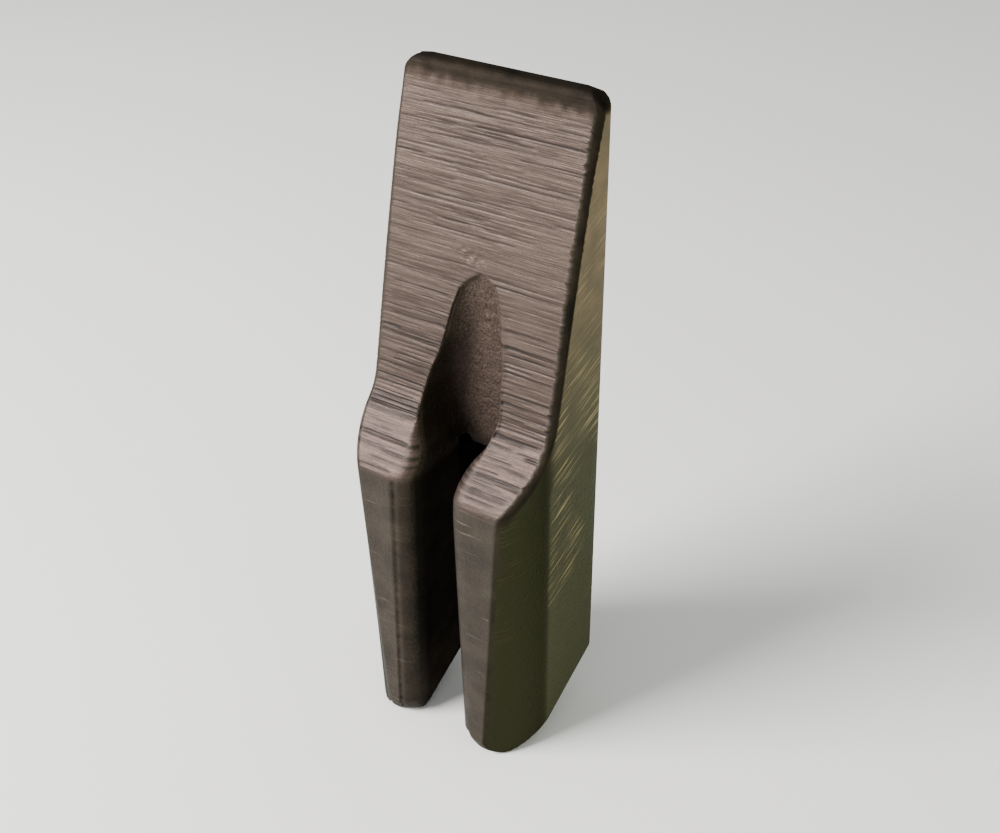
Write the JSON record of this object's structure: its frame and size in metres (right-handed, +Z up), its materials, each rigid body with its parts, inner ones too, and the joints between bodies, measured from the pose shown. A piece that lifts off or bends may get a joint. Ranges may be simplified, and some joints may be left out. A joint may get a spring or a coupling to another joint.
{
  "type": "forked steel wedge",
  "caption": "Thick steel wedge with a chisel blade above, sloping shoulders and two legs that straddle a plate; a spear-shaped scoop opens into the slot.",
  "frame": {"origin": "middle of the width and of the depth, at the height of the legs' lowest points", "axes": "+X to the right seen from the front, +Y towards the flat back, +Z up along the back to the blade's tip"},
  "size_m": [0.065, 0.0478, 0.219],
  "materials": {
    "forged_steel": "satin"
  },
  "bodies": {
    "root": {"forked_wedge": "forged_steel"}
  },
  "joints": []
}
